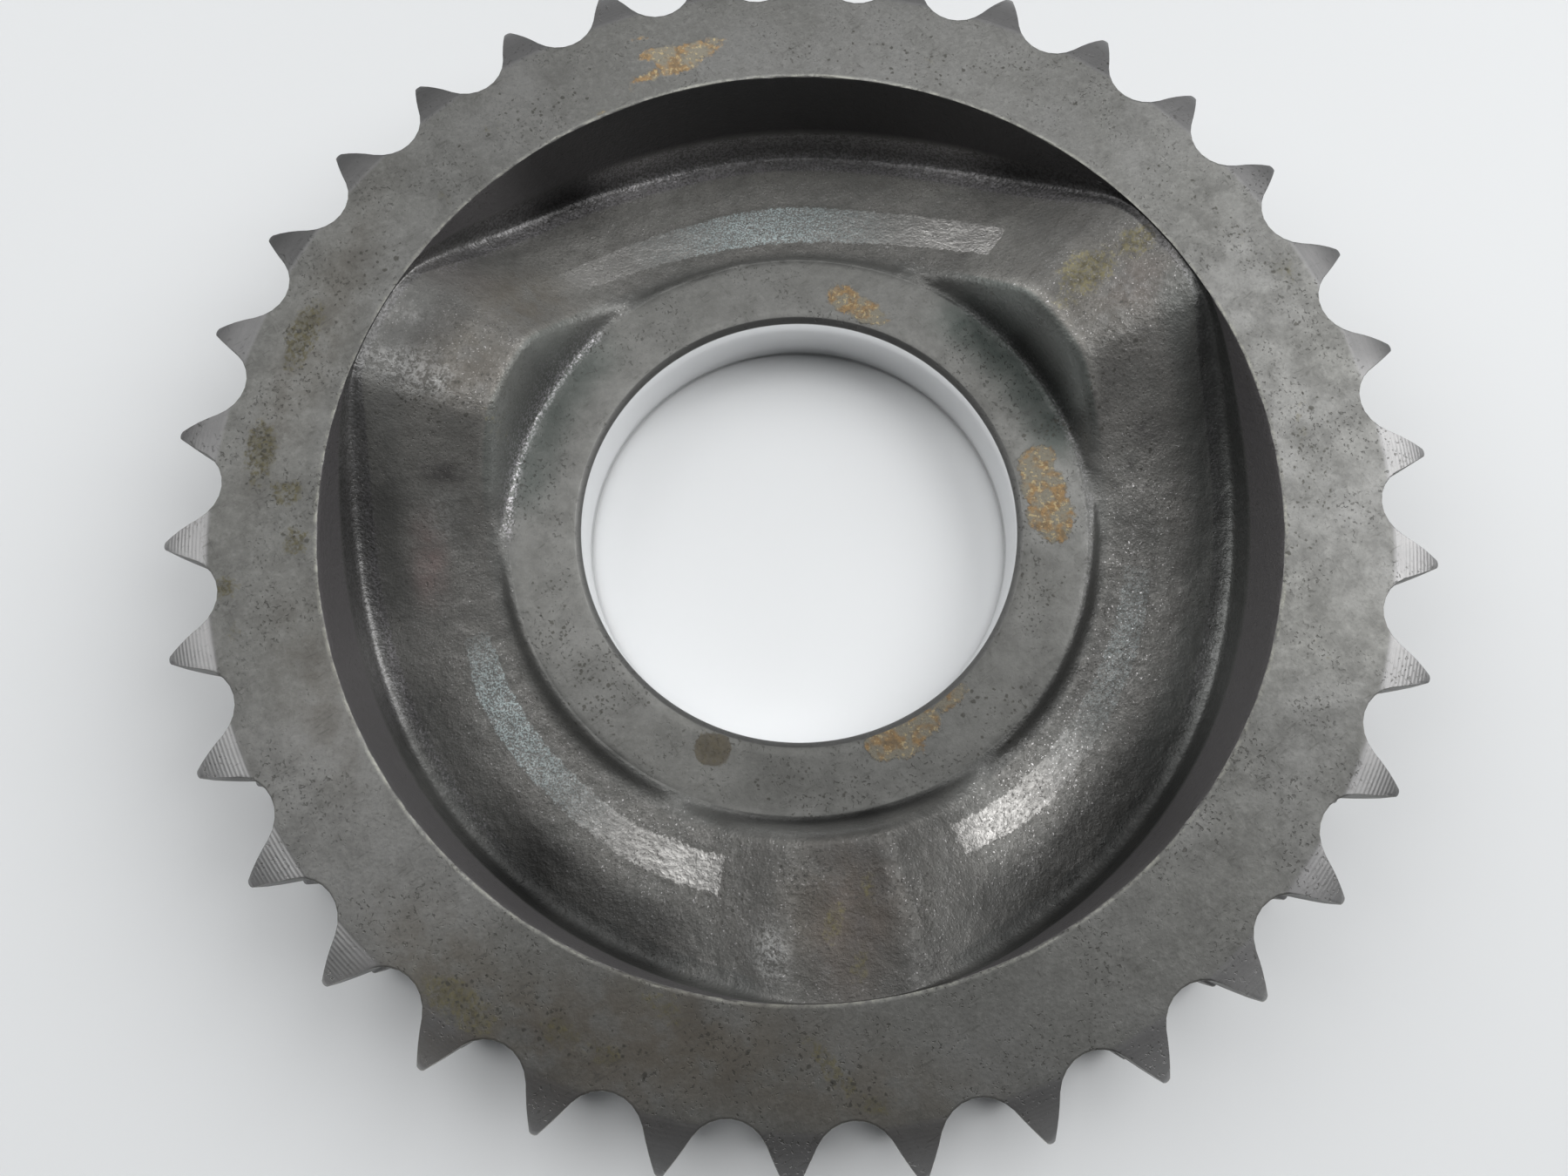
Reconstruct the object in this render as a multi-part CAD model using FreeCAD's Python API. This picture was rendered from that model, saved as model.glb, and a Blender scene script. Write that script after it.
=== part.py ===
import FreeCAD, Part
import math
import os

V = FreeCAD.Vector

# Duplex roller-chain sprocket with a three-lobe face-cam cup, one steel
# forging.  Millimetres.  +Z points out of the cam side, the origin is on the
# bore axis in the plane of the flat back, and one tooth is centred on +X.

# ---- chain and tooth data -------------------------------------------------
TEETH = 34
CHAIN_PITCH = 9.525
ROLLER_D = 6.35
ROW_SPACING = 10.24          # distance between the two rows' middle planes
ROW_WIDTH = 5.20             # width of one row of teeth
TIP_R = 53.43
TIP_LAND = 0.50              # flat left at the point of a tooth
SEAT_R = 3.24                # roller seating radius
SEAT_HALF_ANGLE = 59.5       # degrees each side of the gap's middle
FLANK_BULGE = 0.04           # crown of the tooth flank
SIDE_RELIEF_DEPTH = 1.25     # how far the relief has fallen at the tip
SIDE_RELIEF_R = 9.525        # radius of the turned side relief
GROOVE_R = 46.40             # bottom of the groove between the rows

# ---- cup, hub and cam -----------------------------------------------------
CUP_R = 40.20                # inner wall of the rim
HUB_R = 26.60                # edge of the hub's flat face
BORE_R = 19.75
BORE_CHAMFER = 0.50
HUB_DROP = 8.04              # hub face below the rim face
LOBES = 3
LOBE_PHASE = 4 * 360.0 / TEETH   # the first lobe is in line with the fifth tooth
LOBE_TOP_OUT = 0.20          # lobe crest below the rim face, at the wall
LOBE_TOP_IN = 1.20           # the same, at the hub
VALLEY_OUT = 12.00           # valley bottom below the rim face, at the wall
VALLEY_IN = 9.85             # the same, at the hub
FOOT_FILLET = 1.60           # fillet between the cam face and the rim's wall

pitch_r = CHAIN_PITCH / (2.0 * math.sin(math.pi / TEETH))
root_r = pitch_r - ROLLER_D / 2.0
height = ROW_SPACING + ROW_WIDTH
hub_z = height - HUB_DROP

# Share of the fall from crest to valley against degrees from the crest.
CAM_LAW = [(0.0, 0.0), (5.5, 0.0), (8.0, 0.03), (10.0, 0.105), (12.5, 0.215),
           (15.0, 0.325), (17.5, 0.425), (20.0, 0.52), (22.5, 0.60),
           (25.0, 0.67), (27.5, 0.73), (30.0, 0.78), (35.0, 0.86),
           (40.0, 0.925), (45.0, 0.97), (52.0, 0.995), (60.0, 1.0)]


def cam_share(deg):
    """Monotone cubic through CAM_LAW."""
    pts = CAM_LAW
    deg = min(max(deg, 0.0), 60.0)
    slopes = []
    for i in range(len(pts)):
        if i == 0 or i == len(pts) - 1:
            slopes.append(0.0)
            continue
        a = (pts[i][1] - pts[i - 1][1]) / (pts[i][0] - pts[i - 1][0])
        b = (pts[i + 1][1] - pts[i][1]) / (pts[i + 1][0] - pts[i][0])
        slopes.append(0.0 if a * b <= 0 else 2.0 * a * b / (a + b))
    for i in range(len(pts) - 1):
        x0, y0 = pts[i]
        x1, y1 = pts[i + 1]
        if deg <= x1:
            h = x1 - x0
            t = (deg - x0) / h
            return ((2 * t ** 3 - 3 * t ** 2 + 1) * y0 + (t ** 3 - 2 * t ** 2 + t) * h * slopes[i]
                    + (-2 * t ** 3 + 3 * t ** 2) * y1 + (t ** 3 - t ** 2) * h * slopes[i + 1])
    return 1.0


def cam_z(r, theta):
    """Height of the cam face at radius r and angle theta in degrees."""
    step = 360.0 / LOBES
    off = (theta - LOBE_PHASE) % step
    off = min(off, step - off)
    g = cam_share(off)
    s = (r - HUB_R) / (CUP_R - HUB_R)
    d_in = LOBE_TOP_IN + g * (VALLEY_IN - LOBE_TOP_IN)
    d_out = LOBE_TOP_OUT + g * (VALLEY_OUT - LOBE_TOP_OUT)
    return height - ((1.0 - s) * d_in + s * d_out)


def section(theta):
    """Control points (r, z) of the cup's radial section at theta."""
    z_in = cam_z(HUB_R + 1.5, theta)
    h = z_in - hub_z
    pts = [(23.6, hub_z), (24.4, hub_z), (25.2, hub_z), (25.9, hub_z), (26.33, hub_z + 0.02 * h),
           (26.62, hub_z + 0.12 * h), (26.86, hub_z + 0.36 * h), (27.12, hub_z + 0.66 * h),
           (27.48, hub_z + 0.90 * h)]
    for r in (28.1, 29.0, 30.2, 31.8, 33.4, 35.0, 36.2):
        pts.append((r, cam_z(r, theta)))
    foot = cam_z(CUP_R, theta)
    q = FOOT_FILLET * (1.0 - math.exp(-(height - foot) / 2.5))   # dies out at the crests
    for t in (0.42, 0.80, 1.0):
        r = 36.2 + (CUP_R - q - 36.2) * t
        pts.append((r, cam_z(r, theta)))
    pts.append((CUP_R - 0.36 * q, cam_z(CUP_R - 0.36 * q, theta) + 0.05 * q))
    pts.append((CUP_R - 0.05 * q, foot + 0.36 * q))
    top = height + 3.0
    for t in (0.0, 0.3, 0.65, 1.0):
        pts.append((CUP_R, foot + q + t * (top - foot - q)))
    return pts


def cup_cutter():
    n = 144
    step = 2.0 * math.pi / n
    grow = 3.0 / (2.0 + math.cos(step))     # keeps the true radii between poles
    columns = [section(math.degrees(i * step)) for i in range(n)]
    nu = len(columns[0])
    poles = []
    for k in range(nu):
        row = []
        for i in range(n):
            r, z = columns[i][k]
            row.append(V(r * grow * math.cos(i * step), r * grow * math.sin(i * step), z))
        poles.append(row)
    surf = Part.BSplineSurface()
    uk = list(range(nu - 2))
    um = [4] + [1] * (nu - 4) + [4]
    vk = list(range(n + 1))
    vm = [1] * (n + 1)
    surf.buildFromPolesMultsKnots(poles, um, vm, uk, vk, False, True, 3, 3)
    face = surf.toShape()
    low, high = [], []
    for e in face.Edges:
        b = e.BoundBox
        if b.ZMax - b.ZMin < 1e-6:
            (low if b.ZMax < height else high).append(e)
    caps = [Part.Face(Part.Wire(low)), Part.Face(Part.Wire(high))]
    shell = Part.makeShell([face] + caps)
    shell.sewShape()
    solid = Part.makeSolid(shell)
    if solid.Volume < 0:
        solid.reverse()
    return solid


def tooth_prism():
    edges = []
    half = math.pi / TEETH
    land = (TIP_LAND / 2.0) / TIP_R
    a = math.radians(SEAT_HALF_ANGLE)
    for i in range(TEETH):
        c = (i + 0.5) * 2.0 * half

        def at(x, y, c=c):
            # x across the gap (anticlockwise), y outwards
            return V(y * math.cos(c) - x * math.sin(c), y * math.sin(c) + x * math.cos(c), 0)

        def polar(r, ang):
            return V(r * math.cos(ang), r * math.sin(ang), 0)

        centre_y = root_r + SEAT_R
        sx, sy = SEAT_R * math.sin(a), centre_y - SEAT_R * math.cos(a)
        left = at(-sx, sy)
        right = at(sx, sy)
        bottom = at(0, root_r)
        tip_prev = polar(TIP_R, c - half + land)
        tip_next = polar(TIP_R, c + half - land)
        tip_end = polar(TIP_R, c + half + land)

        def flank(p, q, sign):
            m = (p + q) * 0.5
            d = (q - p)
            nrm = V(-d.y, d.x, 0)
            nrm.normalize()
            gap_mid = polar(pitch_r, c)
            if (gap_mid - m).dot(nrm) < 0:
                nrm = nrm * -1.0
            return Part.Arc(p, m + nrm * FLANK_BULGE, q).toShape()

        edges.append(flank(tip_prev, left, 1))
        edges.append(Part.Arc(left, bottom, right).toShape())
        edges.append(flank(right, tip_next, -1))
        edges.append(Part.LineSegment(tip_next, tip_end).toShape())
    wire = Part.Wire(Part.__sortEdges__(edges))
    return Part.Face(wire).extrude(V(0, 0, height + 2.0)).translated(V(0, 0, -1.0))


def blank():
    """Turned blank: both rows with their side reliefs, and the groove."""
    top = TIP_R + 0.5
    fall_r = math.sqrt(SIDE_RELIEF_R ** 2 - (SIDE_RELIEF_R - SIDE_RELIEF_DEPTH) ** 2)
    r0 = TIP_R - fall_r                      # where the relief starts

    def relief(z_face, sign, outwards):
        # arc from (r0, z_face) falling to the tip, by sign along z
        def p(r):
            d = SIDE_RELIEF_R - math.sqrt(max(SIDE_RELIEF_R ** 2 - (r - r0) ** 2, 0.0))
            return V(r, 0, z_face + sign * d)
        a, m, b = p(r0), p(0.5 * (r0 + top)), p(top)
        return Part.Arc(a, m, b) if outwards else Part.Arc(b, m, a)

    z1, z2 = ROW_WIDTH, ROW_SPACING
    inner = 5.0
    e = []
    back = relief(0.0, 1, True)
    b_top = relief(z1, -1, False)
    f_low = relief(z2, 1, True)
    f_top = relief(height, -1, False)
    e.append(Part.LineSegment(V(inner, 0, 0), back.StartPoint))
    e.append(back)
    e.append(Part.LineSegment(back.EndPoint, b_top.StartPoint))
    e.append(b_top)
    e.append(Part.LineSegment(b_top.EndPoint, V(GROOVE_R + 0.6, 0, z1)))
    e.append(Part.Arc(V(GROOVE_R + 0.6, 0, z1), V(GROOVE_R + 0.6 * (1 - math.sqrt(0.5)), 0, z1 + 0.6 * (1 - math.sqrt(0.5))), V(GROOVE_R, 0, z1 + 0.6)))
    e.append(Part.LineSegment(V(GROOVE_R, 0, z1 + 0.6), V(GROOVE_R, 0, z2 - 0.6)))
    e.append(Part.Arc(V(GROOVE_R, 0, z2 - 0.6), V(GROOVE_R + 0.6 * (1 - math.sqrt(0.5)), 0, z2 - 0.6 * (1 - math.sqrt(0.5))), V(GROOVE_R + 0.6, 0, z2)))
    e.append(Part.LineSegment(V(GROOVE_R + 0.6, 0, z2), f_low.StartPoint))
    e.append(f_low)
    e.append(Part.LineSegment(f_low.EndPoint, f_top.StartPoint))
    e.append(f_top)
    e.append(Part.LineSegment(f_top.EndPoint, V(inner, 0, height)))
    e.append(Part.LineSegment(V(inner, 0, height), V(inner, 0, 0)))
    wire = Part.Wire([x.toShape() for x in e])
    return Part.Face(wire).revolve(V(0, 0, 0), V(0, 0, 1), 360)


def bore_cutter():
    c = BORE_CHAMFER
    pts = [(0, -1), (BORE_R + c + 1, -1), (BORE_R, c), (BORE_R, hub_z - c),
           (BORE_R + c + 1, hub_z + 1), (0, hub_z + 1), (0, -1)]
    wire = Part.makePolygon([V(r, 0, z) for r, z in pts])
    return Part.Face(wire).revolve(V(0, 0, 0), V(0, 0, 1), 360)


def main():
    os.makedirs("parts", exist_ok=True)
    body = blank().common(tooth_prism())
    body = body.cut(bore_cutter())
    body = body.cut(cup_cutter())
    solids = body.Solids
    print("solids", len(solids), "valid", body.isValid(), "volume", round(body.Volume, 1))
    body = solids[0]
    print("pitch_r %.3f root_r %.3f height %.2f hub_z %.2f" % (pitch_r, root_r, height, hub_z))
    bb = body.BoundBox
    print("box", [round(x, 3) for x in (bb.XMin, bb.YMin, bb.ZMin, bb.XMax, bb.YMax, bb.ZMax)], "faces", len(body.Faces))
    body.exportStep("parts/sprocket_forging.step")


main()
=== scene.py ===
import math

import bpy
import numpy as np
from mathutils import Matrix, Vector


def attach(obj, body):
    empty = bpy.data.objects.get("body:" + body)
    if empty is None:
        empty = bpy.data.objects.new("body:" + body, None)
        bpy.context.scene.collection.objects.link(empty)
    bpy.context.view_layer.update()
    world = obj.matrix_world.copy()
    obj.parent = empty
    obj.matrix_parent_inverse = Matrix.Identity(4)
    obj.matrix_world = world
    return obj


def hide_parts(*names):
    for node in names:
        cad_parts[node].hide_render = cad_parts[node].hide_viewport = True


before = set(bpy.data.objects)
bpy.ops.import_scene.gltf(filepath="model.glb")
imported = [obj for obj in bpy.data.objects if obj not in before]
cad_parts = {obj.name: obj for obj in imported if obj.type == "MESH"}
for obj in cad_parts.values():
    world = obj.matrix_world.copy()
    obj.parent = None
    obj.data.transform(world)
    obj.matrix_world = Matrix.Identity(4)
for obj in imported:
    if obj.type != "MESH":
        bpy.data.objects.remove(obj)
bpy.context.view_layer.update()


# ---------------------------------------------------------------- dimensions
# Millimetres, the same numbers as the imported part; vertices are scaled to
# metres at the end.
TEETH = 34
ROW_SPACING, ROW_WIDTH = 10.24, 5.20
PITCH_R = 9.525 / (2 * math.sin(math.pi / TEETH))
ROOT_R = PITCH_R - 6.35 / 2
TIP_R, TIP_LAND = 53.43, 0.50
SEAT_R, SEAT_HALF = 3.24, math.radians(59.5)
RELIEF_DEPTH, RELIEF_R = 1.25, 9.525
GROOVE_R = 46.40
CUP_R, HUB_R, BORE_R, CHAMFER = 40.20, 26.60, 19.75, 0.50
HEIGHT = ROW_SPACING + ROW_WIDTH
HUB_Z = HEIGHT - 8.04
LOBE_PHASE = 4 * 360.0 / TEETH
TOP_OUT, TOP_IN, VALLEY_OUT, VALLEY_IN = 0.20, 1.20, 12.00, 9.85
FOOT_FILLET = 1.60
RELIEF_START = TIP_R - math.sqrt(RELIEF_R ** 2 - (RELIEF_R - RELIEF_DEPTH) ** 2)
CAM_LAW = [(0.0, 0.0), (5.5, 0.0), (8.0, 0.03), (10.0, 0.105), (12.5, 0.215),
           (15.0, 0.325), (17.5, 0.425), (20.0, 0.52), (22.5, 0.60),
           (25.0, 0.67), (27.5, 0.73), (30.0, 0.78), (35.0, 0.86),
           (40.0, 0.925), (45.0, 0.97), (52.0, 0.995), (60.0, 1.0)]


# ------------------------------------------------------------- noise, seeded
class Noise:
    """Smooth value noise on a lattice, the same on every run."""

    def __init__(self, seed):
        rs = np.random.RandomState(seed)
        self.perm = rs.permutation(4096)
        self.val = rs.rand(4096) * 2 - 1

    def at(self, p, scale):
        q = np.asarray(p, float) / scale + 100.37
        i = np.floor(q).astype(np.int64)
        f = q - i
        f = f * f * f * (f * (f * 6 - 15) + 10)
        out = 0.0
        for dx in (0, 1):
            wx = f[..., 0] if dx else 1 - f[..., 0]
            for dy in (0, 1):
                wy = f[..., 1] if dy else 1 - f[..., 1]
                for dz in (0, 1):
                    wz = f[..., 2] if dz else 1 - f[..., 2]
                    h = self.perm[(i[..., 0] + dx) & 4095]
                    h = self.perm[(h + i[..., 1] + dy) & 4095]
                    h = self.perm[(h + i[..., 2] + dz) & 4095]
                    out = out + wx * wy * wz * self.val[h]
        return out

    def fbm(self, p, scale, octaves=3, gain=0.5):
        out, amp = 0.0, 1.0
        for k in range(octaves):
            out = out + amp * self.at(np.asarray(p) + 7.3 * k, scale)
            scale, amp = scale * 0.5, amp * gain
        return out


def smooth(a, b, x):
    t = np.clip((x - a) / (b - a), 0, 1)
    return t * t * (3 - 2 * t)


# --------------------------------------------------------------- cam surface
def cam_slopes():
    pts = CAM_LAW
    s = [0.0]
    for i in range(1, len(pts) - 1):
        a = (pts[i][1] - pts[i - 1][1]) / (pts[i][0] - pts[i - 1][0])
        b = (pts[i + 1][1] - pts[i][1]) / (pts[i + 1][0] - pts[i][0])
        s.append(0.0 if a * b <= 0 else 2 * a * b / (a + b))
    return np.array(s + [0.0])


LAW_X = np.array([p[0] for p in CAM_LAW])
LAW_Y = np.array([p[1] for p in CAM_LAW])
LAW_S = cam_slopes()


def cam_share(deg):
    deg = np.clip(deg, 0, 60)
    i = np.clip(np.searchsorted(LAW_X, deg, side="left") - 1, 0, len(LAW_X) - 2)
    x0, h = LAW_X[i], LAW_X[i + 1] - LAW_X[i]
    t = (deg - x0) / h
    return ((2 * t ** 3 - 3 * t ** 2 + 1) * LAW_Y[i] + (t ** 3 - 2 * t ** 2 + t) * h * LAW_S[i]
            + (-2 * t ** 3 + 3 * t ** 2) * LAW_Y[i + 1] + (t ** 3 - t ** 2) * h * LAW_S[i + 1])


def lobe_off(theta):
    off = (theta - LOBE_PHASE) % 120.0
    return np.minimum(off, 120.0 - off)


def cam_z(r, theta):
    g = (cam_share(lobe_off(theta - 2.5)) + 4 * cam_share(lobe_off(theta)) + cam_share(lobe_off(theta + 2.5))) / 6
    s = (r - HUB_R) / (CUP_R - HUB_R)
    d_in = TOP_IN + g * (VALLEY_IN - TOP_IN)
    d_out = TOP_OUT + g * (VALLEY_OUT - TOP_OUT)
    return HEIGHT - ((1 - s) * d_in + s * d_out)


# ------------------------------------------------------------------- columns
def tooth_half():
    """(angle from the gap's middle, radius) from the tooth's middle to the gap's."""
    half = math.pi / TEETH
    land = (TIP_LAND / 2) / TIP_R
    cy = ROOT_R + SEAT_R
    out = [(half, TIP_R + 0.0)]
    tip = (TIP_R * math.sin(half - land), TIP_R * math.cos(half - land))
    seat = (SEAT_R * math.sin(SEAT_HALF), cy - SEAT_R * math.cos(SEAT_HALF))
    nx, ny = -(seat[1] - tip[1]), seat[0] - tip[0]
    ln = math.hypot(nx, ny)
    nx, ny = -nx / ln, -ny / ln
    if nx > 0:
        nx, ny = -nx, -ny
    out.append((half - land * 0.55, TIP_R - 0.015))
    for t in (0.035, 0.26, 0.5, 0.75):
        b = 0.04 * 4 * t * (1 - t)
        x = tip[0] + (seat[0] - tip[0]) * t + nx * b
        y = tip[1] + (seat[1] - tip[1]) * t + ny * b
        out.append((math.atan2(x, y), math.hypot(x, y)))
    for k in range(0, 5):
        a = SEAT_HALF * (1 - k / 4)
        x, y = SEAT_R * math.sin(a), cy - SEAT_R * math.cos(a)
        out.append((math.atan2(x, y), math.hypot(x, y)))
    return out


HALF = tooth_half()
NT = 2 * (len(HALF) - 1)
COLS = NT * TEETH
pitch = 2 * math.pi / TEETH
one = [(-a, r) for a, r in HALF] + [(a, r) for a, r in HALF[::-1][1:-1]]
phi = np.array([a for a, r in one])
rad = np.array([r for a, r in one])
ANG_OUT = np.concatenate([phi + (i + 0.5) * pitch for i in range(TEETH)])
R_OUT = np.tile(rad, TEETH)
ANG_IN = (np.arange(COLS) - 0.0) * (2 * math.pi / COLS)      # even spacing inside

rn = Noise(11)
# a little unevenness from tooth to tooth, only inwards; computed here but not applied to the mesh
wear = np.array([0.05 * abs(Noise(5).at(np.array([i * 3.1, 0.0, 0.0]), 1.0)) for i in range(TEETH)])


def relief(r):
    d = np.maximum(r - RELIEF_START, 0)
    return RELIEF_R - np.sqrt(RELIEF_R ** 2 - d ** 2)


rows_r, rows_z, rows_w, rows_tag = [], [], [], []
TAGS = {}


def add(r, z, w, tag):
    """One ring of the torus: r, z per column, w = how far it follows the teeth."""
    rows_r.append(np.broadcast_to(np.asarray(r, float), (COLS,)).copy())
    rows_z.append(np.broadcast_to(np.asarray(z, float), (COLS,)).copy())
    rows_w.append(w)
    rows_tag.append(tag)


E = 0.11
# rim face
for k, r in enumerate((40.55, 41.4, 42.5, 43.6, 44.7, 45.8, 46.7)):
    add(r, HEIGHT, smooth(41.0, 47.0, r), "rim")
face_in = 47.4
for t in (0.0, 0.3, 0.5, 0.66, 0.8, 0.91, 1.0):
    r = face_in + (R_OUT - E - face_in) * t
    add(r, HEIGHT - relief(r), 1.0, "side")
zf = HEIGHT - relief(R_OUT)
add(R_OUT - 0.3 * E, zf - 0.3 * E, 1.0, "edge")
add(R_OUT, zf - E, 1.0, "flank")
zl = ROW_SPACING + relief(R_OUT)
for t in (0.5,):
    add(R_OUT, zf - E + (zl + E - zf + E) * t, 1.0, "flank")
add(R_OUT, zl + E, 1.0, "flank")
add(R_OUT - 0.3 * E, zl + 0.3 * E, 1.0, "edge")
for t in (0.0, 0.3, 0.65):
    r = R_OUT - E + (47.35 - R_OUT + E) * t
    add(r, ROW_SPACING + relief(r), 1.0, "inner_side")
for a in (0, 30, 60, 90):
    c, s = math.cos(math.radians(a)), math.sin(math.radians(a))
    add(GROOVE_R + 0.6 - 0.6 * s, ROW_SPACING - 0.6 + 0.6 * c, 0.6, "groove")
add(GROOVE_R, (ROW_SPACING + ROW_WIDTH) / 2, 0.5, "groove")
for a in (90, 60, 30, 0):
    c, s = math.cos(math.radians(a)), math.sin(math.radians(a))
    add(GROOVE_R + 0.6 - 0.6 * s, ROW_WIDTH + 0.6 - 0.6 * c, 0.6, "groove")
for t in (0.35, 0.7, 1.0):
    r = 47.35 + (R_OUT - E - 47.35) * t
    add(r, ROW_WIDTH - relief(r), 1.0, "inner_side")
zt = ROW_WIDTH - relief(R_OUT)
add(R_OUT - 0.3 * E, zt - 0.3 * E, 1.0, "edge")
add(R_OUT, zt - E, 1.0, "flank")
zb = relief(R_OUT)
add(R_OUT, zt - E + (zb + E - zt + E) * 0.5, 1.0, "flank")
add(R_OUT, zb + E, 1.0, "flank")
add(R_OUT - 0.3 * E, zb + 0.3 * E, 1.0, "edge")
for t in (1.0, 0.87, 0.72, 0.55, 0.3, 0.0):
    r = face_in + (R_OUT - E - face_in) * t
    add(r, relief(r), 1.0, "back_side")
# back
for k, r in enumerate((46.0, 43.5, 40.5, 37.0, 33.5, 30.0, 26.5, 23.5, 21.2)):
    add(r, 0.0, smooth(30.0, 47.0, r), "back")
add(BORE_R + CHAMFER + 0.05, 0.0, 0, "back")
add(BORE_R + CHAMFER - 0.05, 0.05, 0, "chamfer")
add(BORE_R + 0.05, CHAMFER - 0.05, 0, "chamfer")
add(BORE_R, CHAMFER + 0.05, 0, "bore")
for t in (0.25, 0.5, 0.75):
    add(BORE_R, CHAMFER + (HUB_Z - 2 * CHAMFER) * t, 0, "bore")
add(BORE_R, HUB_Z - CHAMFER - 0.05, 0, "bore")
add(BORE_R + 0.05, HUB_Z - CHAMFER + 0.05, 0, "chamfer")
add(BORE_R + CHAMFER - 0.05, HUB_Z - 0.05, 0, "chamfer")
add(BORE_R + CHAMFER + 0.05, HUB_Z, 0, "hub")
for r in (21.1, 22.0, 22.9):
    add(r, HUB_Z, 0, "hub")

# cup: the same spline section as the part, evaluated at every column
th_in = np.degrees(ANG_IN)
z_in = cam_z(HUB_R + 1.5, th_in)
h = z_in - HUB_Z
cps = [(23.6, HUB_Z + 0 * h), (24.4, HUB_Z + 0 * h), (25.2, HUB_Z + 0 * h), (25.9, HUB_Z + 0 * h),
       (26.33, HUB_Z + 0.02 * h), (26.62, HUB_Z + 0.12 * h), (26.86, HUB_Z + 0.36 * h),
       (27.12, HUB_Z + 0.66 * h), (27.48, HUB_Z + 0.90 * h)]
for r in (28.1, 29.0, 30.2, 31.8, 33.4, 35.0, 36.2):
    cps.append((r, cam_z(r, th_in)))
foot = cam_z(CUP_R, th_in)
deep = HEIGHT - foot
q = FOOT_FILLET * (1.0 - np.exp(-deep / 2.5))            # foot radius, dying out at the crests
for t in (0.42, 0.80, 1.0):
    r = 36.2 + (CUP_R - q - 36.2) * t
    cps.append((r, cam_z(r, th_in)))
cps.append((CUP_R - 0.36 * q, cam_z(CUP_R - 0.36 * q, th_in) + 0.05 * q))
cps.append((CUP_R - 0.05 * q, foot + 0.36 * q))
for t in (0.0, 0.3, 0.65, 1.0):
    cps.append((CUP_R, foot + q + t * (HEIGHT + 3.0 - foot - q)))
CR = np.array([np.broadcast_to(c[0], (COLS,)) for c in cps])
CZ = np.array([c[1] for c in cps])
NCP = len(cps)
KN = np.concatenate([[0, 0, 0], np.arange(NCP - 2), [NCP - 3] * 3]).astype(float)


def basis(u):
    """Cubic basis weights of every control point at u."""
    u = min(max(u, 0.0), NCP - 3 - 1e-9)
    n = np.zeros(len(KN) - 1)
    for i in range(len(KN) - 1):
        n[i] = 1.0 if KN[i] <= u < KN[i + 1] else 0.0
    for d in (1, 2, 3):
        m = np.zeros(len(KN) - 1 - d)
        for i in range(len(m)):
            a = KN[i + d] - KN[i]
            b = KN[i + d + 1] - KN[i + 1]
            m[i] = (0 if a == 0 else (u - KN[i]) / a * n[i]) + (0 if b == 0 else (KN[i + d + 1] - u) / b * n[i + 1])
        n = m
    return n


US = np.linspace(0, NCP - 3, 441)
BM = np.array([basis(u) for u in US])
DR, DZ = BM @ CR, BM @ CZ                     # dense section, per column

u_cam0, u_cam1, u_wall = 8.2, 16.4, 20.4
rows_u = list(np.linspace(0.0, 2.4, 4)) + list(np.linspace(2.9, u_cam0, 13)) \
    + list(np.linspace(u_cam0 + 0.30, u_cam1 - 0.25, 27)) + list(np.linspace(u_cam1, u_wall, 9))
for u in rows_u:
    b = basis(u)
    tag = "hub" if u < 2.8 else ("hub_edge" if u < u_cam0 else ("cam" if u < u_cam1 else "foot"))
    add(b @ CR, b @ CZ, 0, tag)
# the wall above the foot, up to a worn edge
zs = basis(u_wall) @ CZ
rs = basis(u_wall) @ CR
cap = HEIGHT - 0.02
for i in range(len(rows_r)):
    if rows_tag[i] == "foot":
        rows_z[i] = np.minimum(rows_z[i], cap)
zs = np.minimum(zs, HEIGHT - 0.04)
ringp = np.stack([CUP_R * np.cos(ANG_IN), CUP_R * np.sin(ANG_IN), np.zeros(COLS)], -1)
edge_w = 0.11 + 0.05 * rn.fbm(ringp, 2.2, 3) + 0.11 * rn.at(ringp, 0.9)
edge_w = np.clip(edge_w, 0.04, 0.28)
room = np.maximum(HEIGHT - zs, 0.02)
ew = np.minimum(edge_w, 0.45 * room)
zt_wall = HEIGHT - ew
n_wall = 8
i_wall = int(np.searchsorted(US, u_wall)) - 1
for k in range(1, n_wall + 1):
    t = k / n_wall
    z = zs + (zt_wall - zs) * t
    # radius from the dense curve at that height, above the foot
    r = np.empty(COLS)
    for c in range(COLS):
        r[c] = np.interp(z[c], DZ[i_wall:, c], DR[i_wall:, c])
    add(np.maximum(r, rs), z, 0, "wall")
add(CUP_R + 0.30 * ew, HEIGHT - 0.30 * ew, 0, "rim_edge")
add(CUP_R + ew, HEIGHT + 0 * ew, 0, "rim_edge")
ROWS = len(rows_r)

R = np.array(rows_r)
Z = np.array(rows_z)
W = np.array(rows_w)[:, None]
ANG = ANG_IN[None, :] * (1 - W) + (ANG_OUT + (ANG_IN[0] - ANG_OUT[0]) * 0)[None, :] * W
tags = np.array(rows_tag)


def mask(*names):
    return np.isin(tags, names)[:, None] * np.ones((1, COLS))


X, Y = R * np.cos(ANG), R * np.sin(ANG)
P = np.stack([X, Y, Z], -1)
TH = np.degrees(ANG) % 360.0

# -------------------------------------------------- shape detail, in geometry
forged = mask("cam", "foot", "hub_edge") + 0.55 * mask("wall")
grow = np.ones_like(forged)
lump = rn.fbm(P, 5.0, 2) * 0.05 + rn.fbm(P, 1.6, 3, 0.6) * 0.045
grit = np.abs(Noise(23).fbm(P, 0.8, 2, 0.7)) * 0.045
dz = forged * (lump - grit)
side_w = mask("wall")
Zd = Z + dz * (1 - side_w)
Rd = R + dz * side_w * 0.8
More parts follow.
